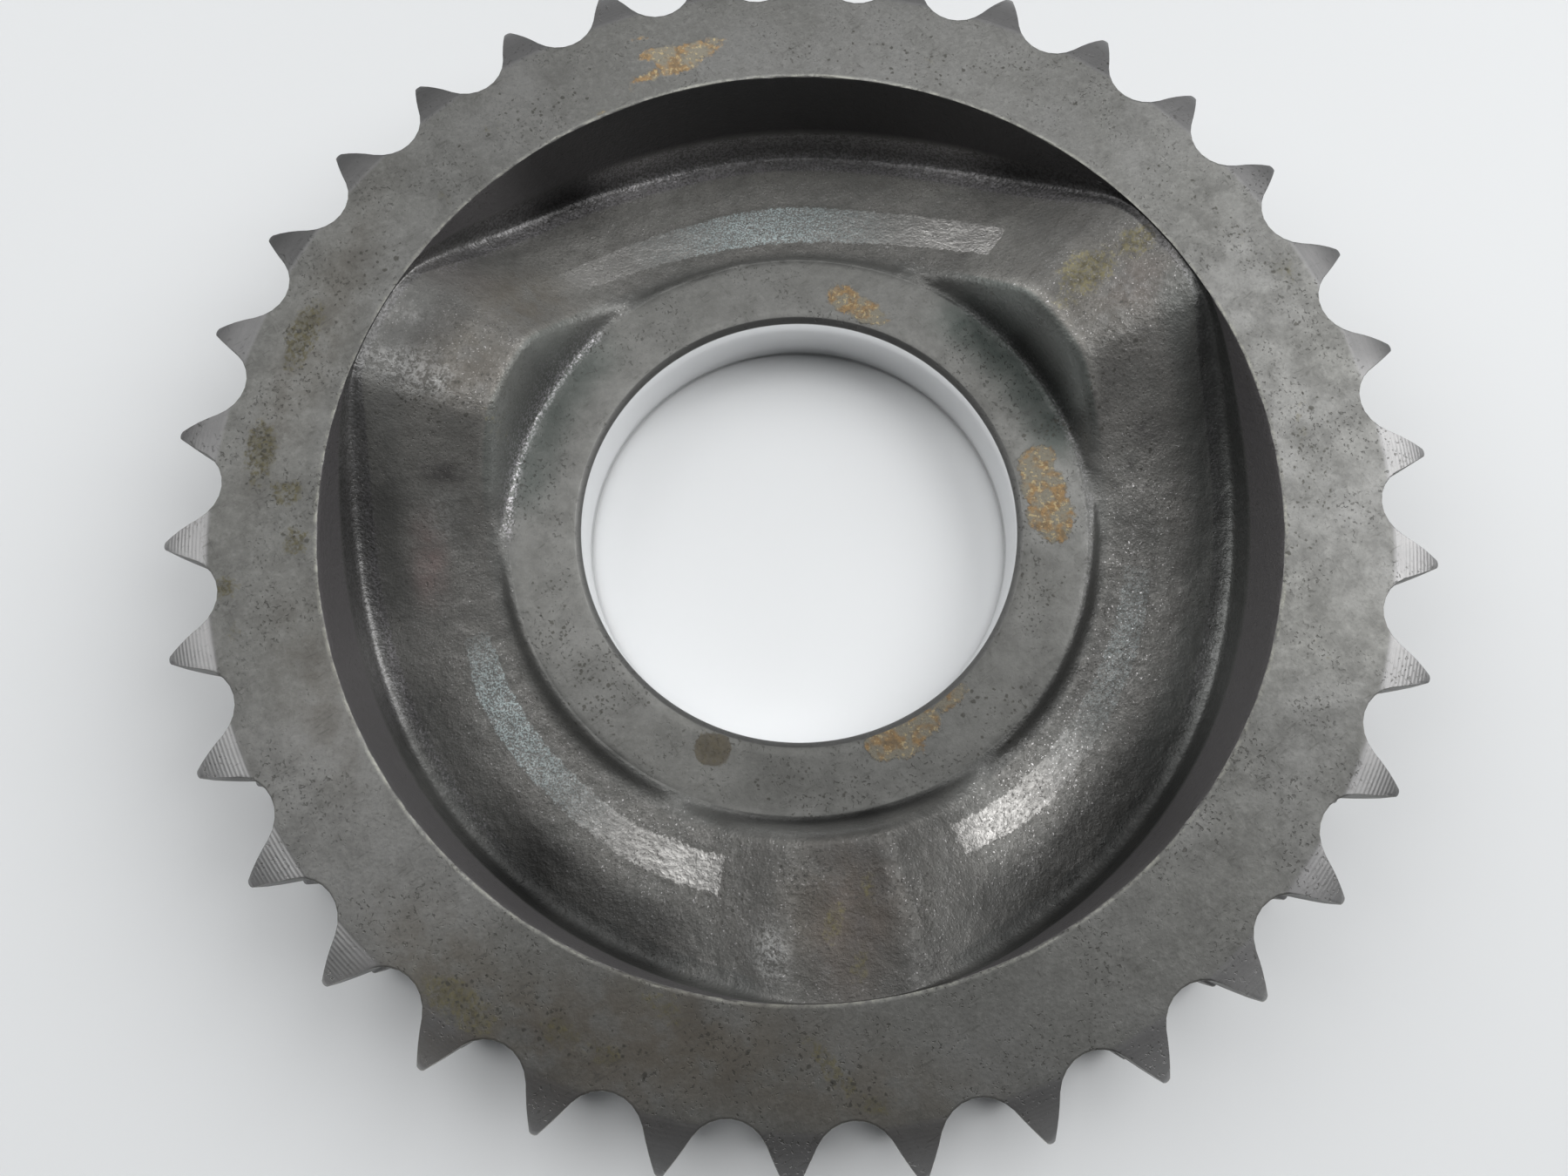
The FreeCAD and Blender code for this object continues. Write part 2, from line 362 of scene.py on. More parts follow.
# the crests come no higher than the rim
Zd = np.where(mask("cam", "foot", "hub_edge") > 0, np.minimum(Zd, HEIGHT - 0.05), Zd)
X, Y = Rd * np.cos(ANG), Rd * np.sin(ANG)
P = np.stack([X, Y, Zd], -1)

# ------------------------------------------------------------ build the mesh
verts = (P.reshape(-1, 3) * 0.001)
idx = np.arange(ROWS * COLS).reshape(ROWS, COLS)
a = idx
b = np.roll(idx, -1, axis=1)
c = np.roll(b, -1, axis=0)
d = np.roll(idx, -1, axis=0)
quads = np.stack([a, d, c, b], -1).reshape(-1, 4)
me = bpy.data.meshes.new("sprocket_surface")
me.vertices.add(len(verts))
me.vertices.foreach_set("co", verts.astype(np.float32).ravel())
me.loops.add(quads.size)
me.loops.foreach_set("vertex_index", quads.astype(np.int32).ravel())
me.polygons.add(len(quads))
me.polygons.foreach_set("loop_start", np.arange(0, quads.size, 4, dtype=np.int32))
me.polygons.foreach_set("loop_total", np.full(len(quads), 4, dtype=np.int32))
me.update(calc_edges=True)
me.validate()
# signed volume tells which way the faces look
v = verts[quads]
vol = np.einsum("ij,ij->i", v[:, 0], np.cross(v[:, 1], v[:, 2])) + np.einsum("ij,ij->i", v[:, 0], np.cross(v[:, 2], v[:, 3]))
print("scene mesh", len(verts), "verts", len(quads), "quads; volume mm3", round(vol.sum() / 6 * 1e9, 1))
if vol.sum() < 0:
    me.flip_normals()
me.polygons.foreach_set("use_smooth", np.ones(len(quads), dtype=bool))
me.set_sharp_from_angle(angle=math.radians(38))
sprocket = bpy.data.objects.new("sprocket_forging_surface", me)
bpy.context.scene.collection.objects.link(sprocket)


def attr(name, arr):
    at = me.attributes.new(name, "FLOAT", "POINT")
    at.data.foreach_set("value", np.asarray(arr, np.float32).ravel())


# ------------------------------------------------------------- surface masks
m_rim = mask("rim", "side", "rim_edge")
m_cup = mask("cam", "foot", "hub_edge", "wall")
attr("m_rim", m_rim)
attr("m_side", mask("side", "inner_side", "back_side"))
attr("m_bore", mask("bore"))
attr("m_hub", mask("hub") )
attr("m_cam", mask("cam", "foot", "hub_edge"))
attr("m_wall", mask("wall"))
attr("m_edge", mask("edge") + mask("rim_edge"))
attr("m_cham", mask("chamfer"))


def span(theta, a, b, fade_a, fade_b):
    """1 between a and b degrees, fading outside; a < b, may pass 360."""
    t = (theta - a) % 360.0
    t = np.where(t > 180 + (b - a) / 2, t - 360.0, t)
    return smooth(-fade_a, 0.0, t) * (1 - smooth(b - a, b - a + fade_b, t))


is_cam = mask("cam", "foot", "hub_edge")
# Three worn tracks: (angle, middle radius, half width, brightness, blue sparkle) along each.
TRACKS = [
    ([61.2, 66, 74, 80, 90, 98, 108, 118, 128, 136, 143],
     [32.6, 32.4, 32.0, 31.7, 31.5, 31.5, 31.4, 31.4, 31.5, 31.6, 31.7],
     [1.70, 1.78, 1.85, 1.90, 2.05, 2.15, 2.05, 1.85, 1.65, 1.45, 1.20],
     [1.00, 1.00, 0.86, 0.50, 0.26, 0.20, 0.26, 0.36, 0.42, 0.36, 0.0],
     [0.0, 0.0, 0.0, 0.10, 0.45, 0.75, 0.75, 0.22, 0.0, 0.0, 0.0]),
    ([205, 210, 216, 224, 232, 240, 248, 256, 262, 264.4],
     [30.8, 30.9, 31.2, 31.3, 31.3, 31.4, 31.6, 31.6, 31.5, 31.5],
     [1.10, 1.45, 1.55, 1.50, 1.45, 1.45, 1.50, 1.60, 1.60, 1.57],
     [0.0, 0.08, 0.10, 0.07, 0.08, 0.24, 0.58, 0.90, 1.00, 1.00],
     [0.1, 0.40, 0.62, 0.58, 0.36, 0.10, 0.0, 0.0, 0.0, 0.0]),
    ([301.0, 303, 308, 313, 318, 324, 330, 338, 346, 353, 360],
     [30.8, 30.9, 31.2, 31.4, 31.4, 31.3, 31.2, 31.2, 31.2, 31.2, 31.2],
     [1.30, 1.36, 1.45, 1.50, 1.50, 1.50, 1.45, 1.40, 1.40, 1.35, 1.20],
     [0.70, 0.74, 0.72, 0.56, 0.38, 0.20, 0.08, 0.0, 0.0, 0.0, 0.0],
     [0.0, 0.0, 0.0, 0.0, 0.0, 0.04, 0.08, 0.22, 0.26, 0.22, 0.1])]
sd = np.full(X.shape, -3.0)
k_bright = np.zeros_like(X)
k_blue = np.zeros_like(X)
for t_a, t_r, t_w, t_k, t_b in TRACKS:
    here = (TH >= t_a[0] - 5) & (TH <= t_a[-1] + 5)
    rad_d = np.interp(TH, t_a, t_w) - np.abs(R - np.interp(TH, t_a, t_r))
    end_d = np.minimum(TH - t_a[0], t_a[-1] - TH) * math.pi / 180 * 31.3
    d_ = np.minimum(rad_d, end_d)
    sd = np.where(here, np.maximum(sd, d_), sd)
    k_bright = np.where(here, np.interp(TH, t_a, t_k), k_bright)
    k_blue = np.where(here, np.interp(TH, t_a, t_b), k_blue)
attr("strip_sd", np.clip(np.where(is_cam > 0, sd, -3.0), -3.0, 3.0))
attr("strip_k", k_bright * is_cam)
attr("speck", k_blue * is_cam)


# stains and rust, as soft fields that the shader breaks up with noise.
# Each is x, y, length, width in millimetres, turn in degrees, strength.
def field(blobs, on):
    out = np.zeros_like(X)
    for bx, by, lx, ly, turn, k in blobs:
        c_, s_ = math.cos(math.radians(turn)), math.sin(math.radians(turn))
        dx, dy = X - bx, Y - by
        u_ = (dx * c_ + dy * s_) / (0.5 * lx)
        v_ = (-dx * s_ + dy * c_) / (0.5 * ly)
        out = np.maximum(out, k * np.exp(-(u_ * u_ + v_ * v_) ** 1.3 * 0.9))
    return out * on


on_hub, on_rim = mask("hub", "hub_edge"), mask("rim", "side", "rim_edge")
on_cam = mask("cam", "foot", "hub_edge")
attr("rust", np.clip(
    field([(21.0, 7.9, 3.6, 3.2, 70, 1.1), (21.8, 5.6, 4.4, 4.0, 75, 1.1), (22.5, 3.4, 4.2, 4.6, 80, 1.0),
           (22.9, 2.0, 2.6, 3.4, 0, 0.9), (9.4, -19.0, 3.2, 3.2, 20, 1.1), (11.0, -18.2, 4.0, 3.6, 30, 1.1),
           (12.6, -16.8, 3.4, 2.6, 40, 0.9), (14.8, -14.4, 5.0, 2.0, 48, 0.62), (1.9, 22.4, 3.6, 2.8, 160, 0.9),
           (4.2, 21.4, 3.8, 2.8, 150, 0.85), (5.6, 20.6, 2.4, 2.2, 0, 0.6)], on_hub)
    + field([(-17.0, 40.9, 5.6, 2.0, 12, 0.82), (-14.2, 41.7, 5.2, 2.0, 10, 0.70), (-15.6, 39.6, 4.6, 1.1, 14, 0.74),
             (-17.8, 38.4, 4.6, 0.9, 20, 0.74), (-21.9, 34.5, 2.2, 0.9, 32, 0.85), (-12.6, 43.2, 3.0, 1.2, 8, 0.55),
             (-19.2, 42.4, 2.4, 1.0, 10, 0.60), (-19.7, 36.1, 2.4, 0.7, 30, 0.70)], on_rim), 0, 1))
attr("brown", np.clip(field([(-9.0, -44.0, 34.0, 9.0, 0, 0.8), (6.0, -45.5, 22.0, 6.0, 0, 0.6), (-22.0, -41.0, 14.0, 7.0, -28, 0.6),
                            (-37.0, -20.0, 6.0, 16.0, 28, 0.3), (-43.0, 10.0, 5.0, 26.0, -10, 0.35)], on_rim)
                     + field([(7.4, -33.6, 9.0, 11.0, 0, 0.9), (-30.0, 9.0, 9.0, 8.0, 0, 0.55), (25.0, 22.0, 12.0, 9.0, 40, 0.45),
                              (-27.0, 17.0, 8.0, 8.0, 30, 0.5)], on_cam), 0, 1))
# painted light and painted shade, as a brightness scale on the base colour (1 = as the base colour): rim top lighter,
# rim and hub bottom darker, top wall darker, shaded lobe faces and cam zones lightened or darkened by where light
# falls; partly uneven cleanliness of the cam
painted_light_tone = np.ones_like(X)
painted_light_tone += on_cam * span(TH, 76, 116, 12, 14) * (0.30 * smooth(32.8, 34.6, R) + 0.45 * smooth(35.5, 38.2, R))
painted_light_tone -= on_cam * 0.62 * span(TH, 244, 257, 22, 9) * smooth(33.6, 36.4, R)
painted_light_tone -= on_cam * 0.30 * span(TH, 212, 236, 8, 12) * smooth(33.4, 35.0, R)
painted_light_tone -= on_cam * 0.66 * span(TH, 308, 326, 13, 22) * smooth(32.8, 36.2, R)
painted_light_tone -= on_cam * 0.24 * span(TH, 300, 352, 8, 8) * (1 - smooth(28.4, 30.4, R))
painted_light_tone -= on_cam * 0.40 * span(TH, 279, 288, 8, 8)
painted_light_tone -= on_cam * 0.22 * span(TH, 288, 300, 6, 6)
painted_light_tone -= on_cam * 0.16 * span(TH, 36, 48, 6, 6)
painted_light_tone -= on_cam * 0.30 * span(TH, 157, 168, 4, 5) * smooth(32.5, 34.0, R) * (1 - smooth(36.2, 37.4, R))
painted_light_tone += on_cam * 0.26 * span(TH, 138, 153, 10, 3) * (1 - smooth(32.8, 34.6, R))
painted_light_tone -= on_cam * 0.20 * span(TH, 130, 146, 8, 6) * smooth(35.6, 37.6, R)
painted_light_tone += on_cam * 0.34 * span(TH, 49, 61, 3, 5) * (1 - smooth(34.0, 36.5, R))
painted_light_tone -= on_cam * 0.24 * span(TH, 182, 196, 6, 6) * smooth(34.2, 36.5, R)
painted_light_tone -= on_hub * 0.25 * span(TH, 268, 356, 10, 14)
painted_light_tone -= on_hub * 0.32 * span(TH, 30, 54, 8, 8) * smooth(21.6, 24.6, R)
painted_light_tone += on_rim * 0.22 * span(TH, 76, 112, 16, 16)
painted_light_tone -= on_rim * 0.26 * span(TH, 304, 338, 14, 14)
painted_light_tone -= on_rim * 0.26 * span(TH, 254, 292, 20, 12)
painted_light_tone -= on_rim * 0.16 * span(TH, 140, 200, 12, 14)
# painted light: the lobes' inner faces and the foot of the lobes lightened where they fall in shade
painted_light_tone += mask("hub_edge", "cam") * 0.9 * span(TH, 30, 54, 5, 8) * smooth(26.6, 27.2, R) * (1 - smooth(28.0, 29.6, R))
painted_light_tone += mask("hub_edge", "cam") * 0.30 * span(TH, 148, 178, 5, 6) * smooth(26.8, 27.4, R) * (1 - smooth(28.0, 29.0, R))
painted_light_tone += mask("hub", "hub_edge", "cam") * 0.55 * span(TH, 268, 308, 6, 6) * np.exp(-((R - 27.5) / 0.9) ** 2)
painted_light_tone -= mask("wall", "foot") * 0.62 * span(TH, 46, 132, 10, 10) * smooth(38.9, 39.5, R)
painted_light_tone += mask("wall") * 0.20 * span(TH, 335, 385, 12, 12)
painted_light_tone -= on_cam * 0.25 * span(TH, 334, 368, 8, 6) * smooth(28.2, 29.0, R) * (1 - smooth(32.5, 33.5, R))
painted_light_tone += on_cam * 0.25 * span(TH, 171, 180, 3, 4)
painted_light_tone += on_cam * 0.12 * span(TH, 76, 116, 12, 14) * smooth(33.4, 35.0, R)
# painted light on the tooth sides: darker on the upper teeth, lighter on the left, lower left and right teeth where the
# turned faces catch the lamps (painted highlight)
sides = mask("side", "inner_side", "back_side")
side_painted_light = np.zeros_like(X)
side_painted_light -= sides * 0.30 * span(TH, 22, 158, 8, 10)
side_painted_light -= sides * 0.10 * span(TH, 262, 326, 12, 8)
painted_light_tone += on_hub * (0.13 * span(TH, 140, 215, 10, 10) + 0.06 * span(TH, 345, 385, 10, 10))
painted_light_tone += on_cam * 0.25 * span(TH, 60, 70, 2, 6) * smooth(-0.1, 0.2, sd)
painted_light_tone -= on_cam * 0.12 * span(TH, 70, 130, 8, 8) * (1 - smooth(28.8, 30.0, R))
attr("lines", np.clip(0.08 + 0.95 * span(TH, 186, 228, 8, 10) + 0.75 * span(TH, 332, 374, 6, 4), 0, 1))
side_painted_light += sides * (0.66 * span(TH, 192, 230, 13, 9) + 0.36 * span(TH, 330, 376, 10, 6) - 0.14 * span(TH, 158, 178, 8, 6))
attr("painted_light_tone", np.clip(painted_light_tone, 0.12, 2.2))
attr("side_painted_light", side_painted_light)
# painted light: the lower and upper tooth tips lightened towards the tip, where they would otherwise render darker
attr("tip_painted_light", mask("side", "edge") * np.clip(span(TH, 238, 322, 10, 12) + 0.35 * span(TH, 60, 120, 20, 20), 0, 1))
attr("specks", np.clip(field([(35.6, 28.4, 7.0, 2.2, -36, 1.0), (40.2, 25.2, 3.6, 2.0, -46, 1.0), (33.0, 30.6, 3.0, 1.8, -36, 0.9),
                              (-44.4, 9.6, 2.4, 7.0, -8, 0.9), (-45.6, -1.0, 2.2, 4.4, 0, 1.0), (-41.2, -7.6, 2.4, 2.4, 0, 0.8),
                              (-40.5, 17.0, 4.0, 8.0, -20, 0.6), (30.0, 33.0, 6.0, 3.0, -40, 0.5), (42.0, 6.0, 4.0, 16.0, 0, 0.5),
                              (8.0, 43.0, 22.0, 4.0, 0, 0.50), (-28.0, 34.0, 10.0, 4.0, 40, 0.5),
                              (-20.5, -42.4, 7.0, 2.8, -26, 0.9), (-13.8, -43.9, 5.0, 2.6, -16, 0.8), (-9.0, -45.6, 7.0, 3.0, -20, 0.6),
                              (-1.8, -42.8, 5.0, 2.6, -10, 0.7), (4.8, -43.0, 2.6, 3.6, 0, 0.6), (9.0, -45.8, 5.0, 2.6, 14, 0.7)], on_rim)
                       + field([(22.0, 11.8, 5.0, 3.6, 60, 0.8), (22.8, -3.6, 4.0, 3.4, 0, 0.6), (19.0, -14.6, 7.0, 4.0, 40, 0.85), (2.0, -23.4, 12.0, 3.0, 0, 0.45), (-15.5, -17.5, 8.0, 4.0, -45, 0.7),
                                (-21.0, -10.5, 4.0, 6.0, 0, 0.5)], on_hub)
                       + field([(-31.5, 5.6, 9.0, 3.2, 8, 0.9), (29.5, 10.6, 4.0, 4.0, 0, 0.8), (26.0, 15.6, 5.0, 6.0, 0, 0.4),
                                (4.6, -31.0, 5.0, 5.0, 0, 0.6), (-2.0, -34.5, 4.0, 6.0, 0, 0.45)], on_cam), 0, 1))
attr("spot", field([(-5.3, -21.1, 3.1, 3.1, 0, 1.2), (-4.6, -20.2, 1.6, 1.2, 0, 1.0)], on_hub)
     + field([(-15.5, -44.3, 3.4, 1.4, -18, 0.42), (-3.4, -41.5, 1.6, 4.0, 18, 0.40)], on_rim))
attr("olive", np.clip(
    field([(22.9, 23.6, 6.6, 4.4, 40, 0.88), (27.2, 26.8, 4.6, 3.2, 40, 0.78), (21.2, 20.6, 3.6, 2.8, 40, 0.6),
           (6.2, -33.8, 2.2, 4.0, -6, 0.72), (8.4, -36.8, 1.8, 4.0, -6, 0.70), (8.6, -31.0, 1.8, 3.6, 0, 0.60), (-29.4, 11.0, 3.0, 3.0, 0, 0.35), (-27.5, 4.5, 3.5, 3.0, 0, 0.45),
           (-31.0, 3.8, 3.0, 2.0, 0, 0.35)], on_cam)
    + field([(40.4, 24.9, 3.2, 1.8, -46, 0.60), (36.4, 27.6, 3.0, 1.2, -40, 0.45),
             (-44.3, 9.8, 3.0, 7.4, -10, 0.95), (-45.6, -1.2, 2.8, 6.0, 4, 1.0), (-42.6, -4.4, 2.8, 2.8, 0, 0.85), (-41.0, -8.4, 2.8, 3.2, 0, 0.85), (-46.0, -13.0, 2.6, 2.6, 20, 0.80), (-44.6, -16.6, 2.0, 2.4, 20, 0.6),
             (-35.0, 23.0, 2.2, 6.0, -30, 0.45), (-31.7, 31.4, 4.4, 2.0, 44, 0.50),
             (-21.4, -42.6, 8.4, 3.4, -26, 0.85), (-13.4, -43.8, 4.6, 3.0, -12, 0.70), (-5.2, -42.0, 3.0, 2.4, 0, 0.60),
             (10.8, -46.3, 3.6, 1.6, 12, 0.70), (-6.4, -40.9, 5.0, 2.2, -6, 0.66), (-10.2, -44.9, 4.4, 2.0, -16, 0.74), (7.0, -44.2, 7.0, 2.0, -40, 0.72),
             (43.6, -8.0, 2.6, 6.0, 0, 0.35), (41.5, 12.0, 2.0, 7.0, 0, 0.40), (6.5, 42.8, 8.0, 1.6, 0, 0.42),
             (30.5, -33.5, 4.0, 2.0, 45, 0.35)], on_rim)
    + field([(-5.3, -21.1, 3.3, 3.3, 0, 0.9), (-20.5, 13.8, 4.0, 2.0, 55, 0.35)], on_hub), 0, 1))
attr("dark", np.clip(
    field([(-31.9, 0.2, 4.6, 1.7, 0, 1.0), (6.1, -28.8, 4.4, 3.6, 0, 1.0), (8.1, -33.6, 2.4, 7.6, -6, 0.95), (4.6, -32.6, 3.4, 2.6, 10, 0.70), (9.9, -36.0, 1.6, 3.0, 0, 0.45),
           (-35.3, 11.4, 7.0, 2.8, 20, 0.75), (-29.3, 8.6, 3.0, 2.4, 0, 0.45), (19.8, 28.4, 6.0, 2.0, -20, 0.30),
           (12.4, 27.4, 2.6, 1.6, 0, 0.45), (25.6, 12.4, 7.0, 2.4, 70, 0.30), (30.5, 11.5, 3.6, 2.2, 0, 0.80), (29.4, 8.8, 0.8, 0.8, 0, 1.0), (25.0, 13.4, 0.7, 0.7, 0, 1.0)], on_cam)
    + field([(24.0, 11.0, 0.9, 0.9, 0, 0.9), (19.3, 12.6, 4.6, 0.45, 14, 0.7),
             (21.5, 11.5, 3.0, 2.6, 0, 0.35), (20.5, -13.5, 4.0, 1.4, 45, 0.45), (16.5, -19.0, 4.0, 1.2, 40, 0.35)], on_hub)
    + field([(-15.5, -44.3, 4.0, 1.8, -18, 0.55), (-3.4, -41.5, 2.2, 4.6, 18, 0.50), (0.0, -45.6, 2.6, 3.0, 0, 0.40),
             (3.6, -42.5, 1.6, 4.0, -14, 0.35), (-38.0, -18.5, 3.0, 2.0, 60, 0.35), (-40.5, 17.0, 2.6, 3.2, 0, 0.35),
             (-26.5, 37.5, 4.0, 2.4, 40, 0.35)], on_rim), 0, 1))
# pale grainy patches on the lobe tops and valleys: partly the scale's own pale patches, partly painted highlight where
# the lobe tops catch the light
attr("pale_and_highlight", np.clip(
    field([(-34.6, 8.0, 9.0, 4.0, -14, 0.80), (-35.6, 12.6, 5.0, 2.4, 0, 0.40), (26.5, 20.6, 9.0, 6.0, 40, 0.22),
           (30.0, 19.6, 4.0, 4.0, 0, 0.20), (1.6, -36.6, 2.8, 4.0, 20, 0.85), (10.8, -30.0, 1.6, 3.6, 0, 0.15),
           (-32.0, -3.4, 3.6, 4.6, 0, 0.30)], on_cam), 0, 1))
attr("crest", on_cam * (1 - smooth(9.0, 21.0, lobe_off(TH))) * smooth(27.6, 28.8, R))
attr("red", field([(-32.8, -7.0, 3.0, 7.0, 8, 0.80), (27.6, 23.0, 6.0, 4.0, 40, 0.35), (-33.0, 18.0, 6.0, 4.0, 0, 0.25),
                   (7.6, -34.0, 5.0, 9.0, 0, 0.85)], on_cam))
lobe_near = 1 - smooth(14, 26, lobe_off(TH))
# painted shade and painted reflection: the hub darkened and tinted green next to the lobes, where the lobes' dark faces
# shade it; the cam likewise near the right wall
attr("green_tint_and_shade", np.clip(on_hub * smooth(21.4, 25.0, R) * np.where(TH > 100, 0.66, 1.0) * lobe_near * np.where(np.abs((TH - 282.35 + 180) % 360 - 180) < 40, 0.0, 1.0)
                      + on_cam * 0.45 * smooth(35.0, 37.4, R) * span(TH, 335, 395, 12, 10), 0, 1))
upper = span(TH, 342, 570, 14, 12)
round_right = np.clip(span(TH, 338, 390, 12, 10) + 0.7 * span(TH, 150, 215, 12, 12) + 0.4 * span(TH, 225, 335, 10, 10), 0, 1)
# painted shade: darker at the wall foot on the lower half, on the cam near the wall at the lower left and right, and at
# the foot of the lobes' inner faces
attr("recess_shade", np.clip(mask("foot") * 0.8 * (1 - upper) * (1 - span(TH, 276, 290, 8, 8)) + on_cam * 0.75 * smooth(34.6, 37.4, R) * round_right
                      + on_cam * (1 - smooth(27.0, 28.4, R)) * 0.4 + on_hub * smooth(25.2, 26.3, R) * 0.4, 0, 1))
# foot fillets at the lobes and the upper wall: more metallic and smoother, and painted pale so they read as a bright
# line (painted highlight)
hub_foot_glint = mask("hub_edge") * np.exp(-((R - 26.60) / 0.42) ** 2) * (1 - smooth(12, 24, lobe_off(TH)))
# painted highlight: pale grainy sparkle along the concave fillets at the lobe feet and the wall foot, where they catch
# the light
painted_fillet_glint = np.exp(-((R - 26.34) / 0.46) ** 2) * mask("hub", "hub_edge") * np.clip(
    span(TH, 143, 186, 3, 6) + 0.35 * span(TH, 24, 58, 6, 4) + 0.25 * span(TH, 350, 378, 6, 6), 0, 1)
painted_fillet_glint = np.maximum(painted_fillet_glint, np.exp(-((R - 38.55) / 0.50) ** 2) * mask("cam", "foot") * np.clip(
    0.8 * span(TH, 62, 150, 14, 4) + 0.6 * span(TH, 186, 226, 8, 14) + 0.25 * span(TH, 345, 385, 8, 8), 0, 1))
attr("painted_fillet_glint", painted_fillet_glint)
hub_foot_glint = hub_foot_glint * (1 - 0.6 * span(TH, 143, 186, 3, 6))
attr("m_foot_glint", np.clip(mask("foot") * smooth(36.4, 37.6, R) * upper + hub_foot_glint, 0, 1))


# ------------------------------------------------------------------ material
def rgb(v):
    return (v[0], v[1], v[2], 1.0)


mat = bpy.data.materials.new("forged_steel")
mat.use_nodes = True
nt = mat.node_tree
nt.nodes.clear()
L = nt.links


def node(kind, **kw):
    n = nt.nodes.new(kind)
    for k_, v_ in kw.items():
        setattr(n, k_, v_)
    return n


def at(name):
    return node("ShaderNodeAttribute", attribute_name=name).outputs["Fac"]


def put(sock, v_):
    if isinstance(v_, bpy.types.NodeSocket):
        L.new(v_, sock)
    else:
        sock.default_value = v_


def math_(op, a_, b_=None, c_=None, clamp=False):
    n = node("ShaderNodeMath", operation=op, use_clamp=clamp)
    put(n.inputs[0], a_)
    if b_ is not None:
        put(n.inputs[1], b_)
    if c_ is not None:
        put(n.inputs[2], c_)
    return n.outputs[0]


def mul(*fs):
    out_ = fs[0]
    for f_ in fs[1:]:
        out_ = math_("MULTIPLY", out_, f_)
    return out_


def mixc(f_, a_, b_, blend="MIX"):
    n = node("ShaderNodeMix", data_type="RGBA", blend_type=blend, clamp_factor=True)
    put(n.inputs[0], f_)
    put(n.inputs[6], a_ if isinstance(a_, bpy.types.NodeSocket) else rgb(a_))
    put(n.inputs[7], b_ if isinstance(b_, bpy.types.NodeSocket) else rgb(b_))
    return n.outputs[2]


def mixf(f_, a_, b_):
    n = node("ShaderNodeMix", data_type="FLOAT", clamp_factor=True)
    put(n.inputs[0], f_)
    put(n.inputs[2], a_)
    put(n.inputs[3], b_)
    return n.outputs[0]


co = node("ShaderNodeTexCoord").outputs["Object"]
sep = node("ShaderNodeSeparateXYZ")
L.new(co, sep.inputs[0])
flat = node("ShaderNodeCombineXYZ")
L.new(sep.outputs[0], flat.inputs[0])
L.new(sep.outputs[1], flat.inputs[1])
leng = node("ShaderNodeVectorMath", operation="LENGTH")
L.new(flat.outputs[0], leng.inputs[0])
radius = leng.outputs["Value"]
angle = math_("ARCTAN2", sep.outputs[1], sep.outputs[0])
# round-and-round coordinates: short across the radius, long along the turn
polar = node("ShaderNodeCombineXYZ")
L.new(math_("MULTIPLY", angle, 0.0030), polar.inputs[0])
L.new(radius, polar.inputs[1])
L.new(sep.outputs[2], polar.inputs[2])


def noise(scale_mm, detail=3.0, rough_=0.55, vec=None):
    n = node("ShaderNodeTexNoise")
    L.new(vec if vec is not None else co, n.inputs["Vector"])
    n.inputs["Scale"].default_value = 1000.0 / scale_mm
    n.inputs["Detail"].default_value = detail
    n.inputs["Roughness"].default_value = rough_
    return n.outputs["Fac"]


def math_v(op, a_, b_):
    n = node("ShaderNodeVectorMath", operation=op)
    L.new(a_, n.inputs[0])
    L.new(b_, n.inputs[1])
    return n.outputs[0]


def noise_v(scale_mm, reach):
    """A small random shift in three directions, to make round things uneven."""
    n = node("ShaderNodeTexNoise")
    L.new(co, n.inputs["Vector"])
    n.inputs["Scale"].default_value = 1000.0 / scale_mm
    n.inputs["Detail"].default_value = 2
    s_ = node("ShaderNodeVectorMath", operation="SCALE")
    L.new(n.outputs["Color"], s_.inputs[0])
    s_.inputs[3].default_value = reach
    return s_.outputs[0]


def ramp(f_, a_, b_, lo=0.0, hi=1.0):
    n = node("ShaderNodeMapRange", interpolation_type="SMOOTHSTEP")
    put(n.inputs[0], f_)
    n.inputs[1].default_value = a_
    n.inputs[2].default_value = b_
    n.inputs[3].default_value = lo
    n.inputs[4].default_value = hi
    return n.outputs[0]


bsdf = node("ShaderNodeBsdfPrincipled")
out = node("ShaderNodeOutputMaterial")
L.new(bsdf.outputs[0], out.inputs[0])

n_big, n_mid, n_fine, n_grain = noise(11.0, 2), noise(2.4, 4), noise(0.62, 4, 0.6), noise(0.24, 2)
n_clump = noise(4.6, 3)
n_turn = noise(0.16, 2, 0.5, polar.outputs[0])
m_cam, m_wall, m_bore = at("m_cam"), at("m_wall"), at("m_bore")
m_side = mul(at("m_side"), ramp(radius, 0.04890, 0.04935))
forged_f = math_("ADD", m_cam, m_wall, clamp=True)

# machined faces: dull grey with slow variation
base = mixc(ramp(n_big, 0.36, 0.64), (0.176, 0.176, 0.167), (0.207, 0.207, 0.200))
base = mixc(ramp(n_mid, 0.40, 0.66, 0.0, 0.42), base, (0.142, 0.141, 0.134))
base = mixc(ramp(n_fine, 0.44, 0.68, 0.0, 0.36), base, (0.262, 0.262, 0.250))
base = mixc(ramp(n_grain, 0.50, 0.68, 0.0, 0.28), base, (0.108, 0.107, 0.102))
base = mixc(mul(at("m_hub"), 0.55), base, mixc(n_fine, (0.126, 0.126, 0.118), (0.176, 0.176, 0.168)))
